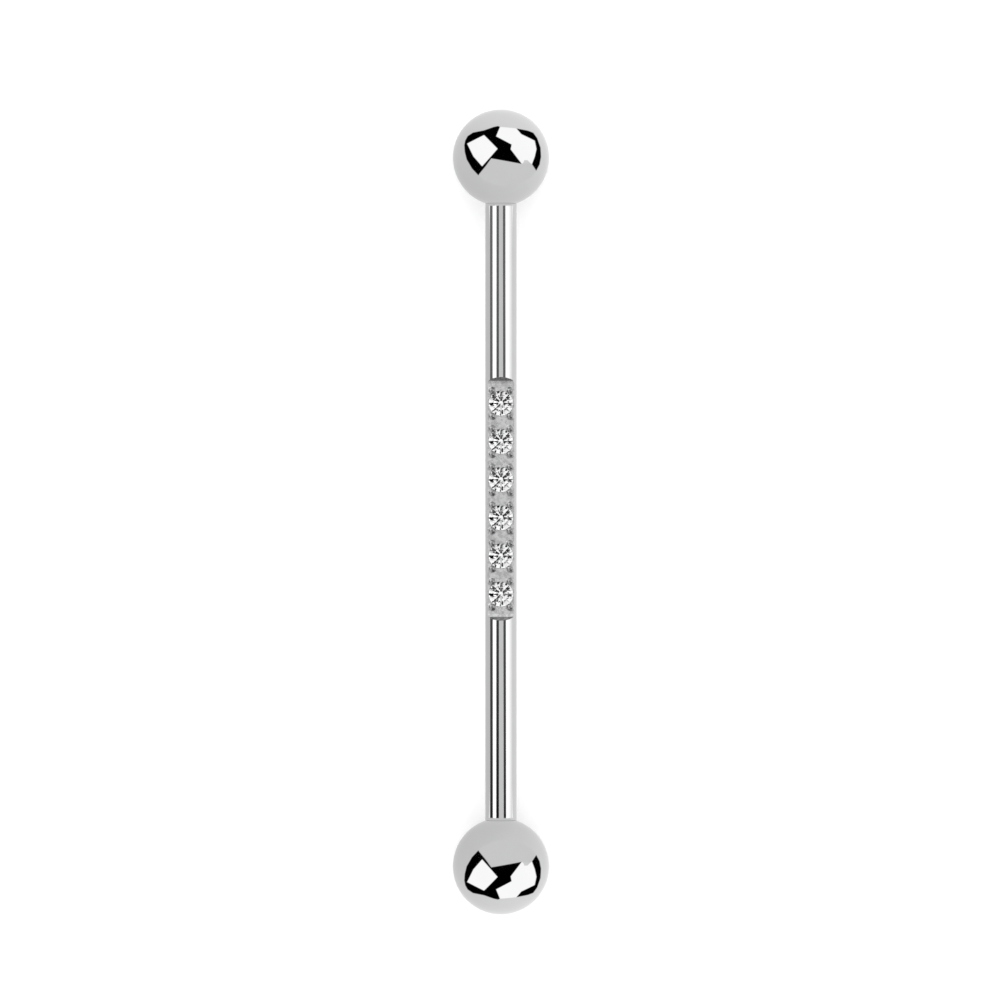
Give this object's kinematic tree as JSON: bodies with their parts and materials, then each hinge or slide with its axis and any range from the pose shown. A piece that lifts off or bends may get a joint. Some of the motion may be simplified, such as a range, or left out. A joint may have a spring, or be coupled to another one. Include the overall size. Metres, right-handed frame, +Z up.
{
  "type": "industrial barbell",
  "caption": "Straight polished steel barbell for an industrial ear piercing, with screw-on end balls and round stones bead-set in a milled flat.",
  "frame": {"origin": "on the surface that the two balls rest on, under the middle of the barbell", "axes": "+Y along the bar toward the top ball, +Z up, the way the stones face, +X across the bar"},
  "size_m": [0.005, 0.0418, 0.005],
  "materials": {
    "bar_steel": "polished",
    "ball_steel": "polished",
    "stone": "polished"
  },
  "bodies": {
    "bar": {"bar": "bar_steel", "stone_1": "stone", "stone_2": "stone", "stone_3": "stone", "stone_4": "stone", "stone_5": "stone", "stone_6": "stone"},
    "ball_top": {"ball_top": "ball_steel"},
    "ball_bottom": {"ball_bottom": "ball_steel"}
  },
  "joints": [
    {"name": "ball_top_unscrews", "type": "slide", "parent": "bar", "child": "ball_top", "axis": [0, 1, 0], "range_m": [0, 0.006]},
    {"name": "ball_bottom_unscrews", "type": "slide", "parent": "bar", "child": "ball_bottom", "axis": [0, -1, 0], "range_m": [0, 0.006]}
  ]
}
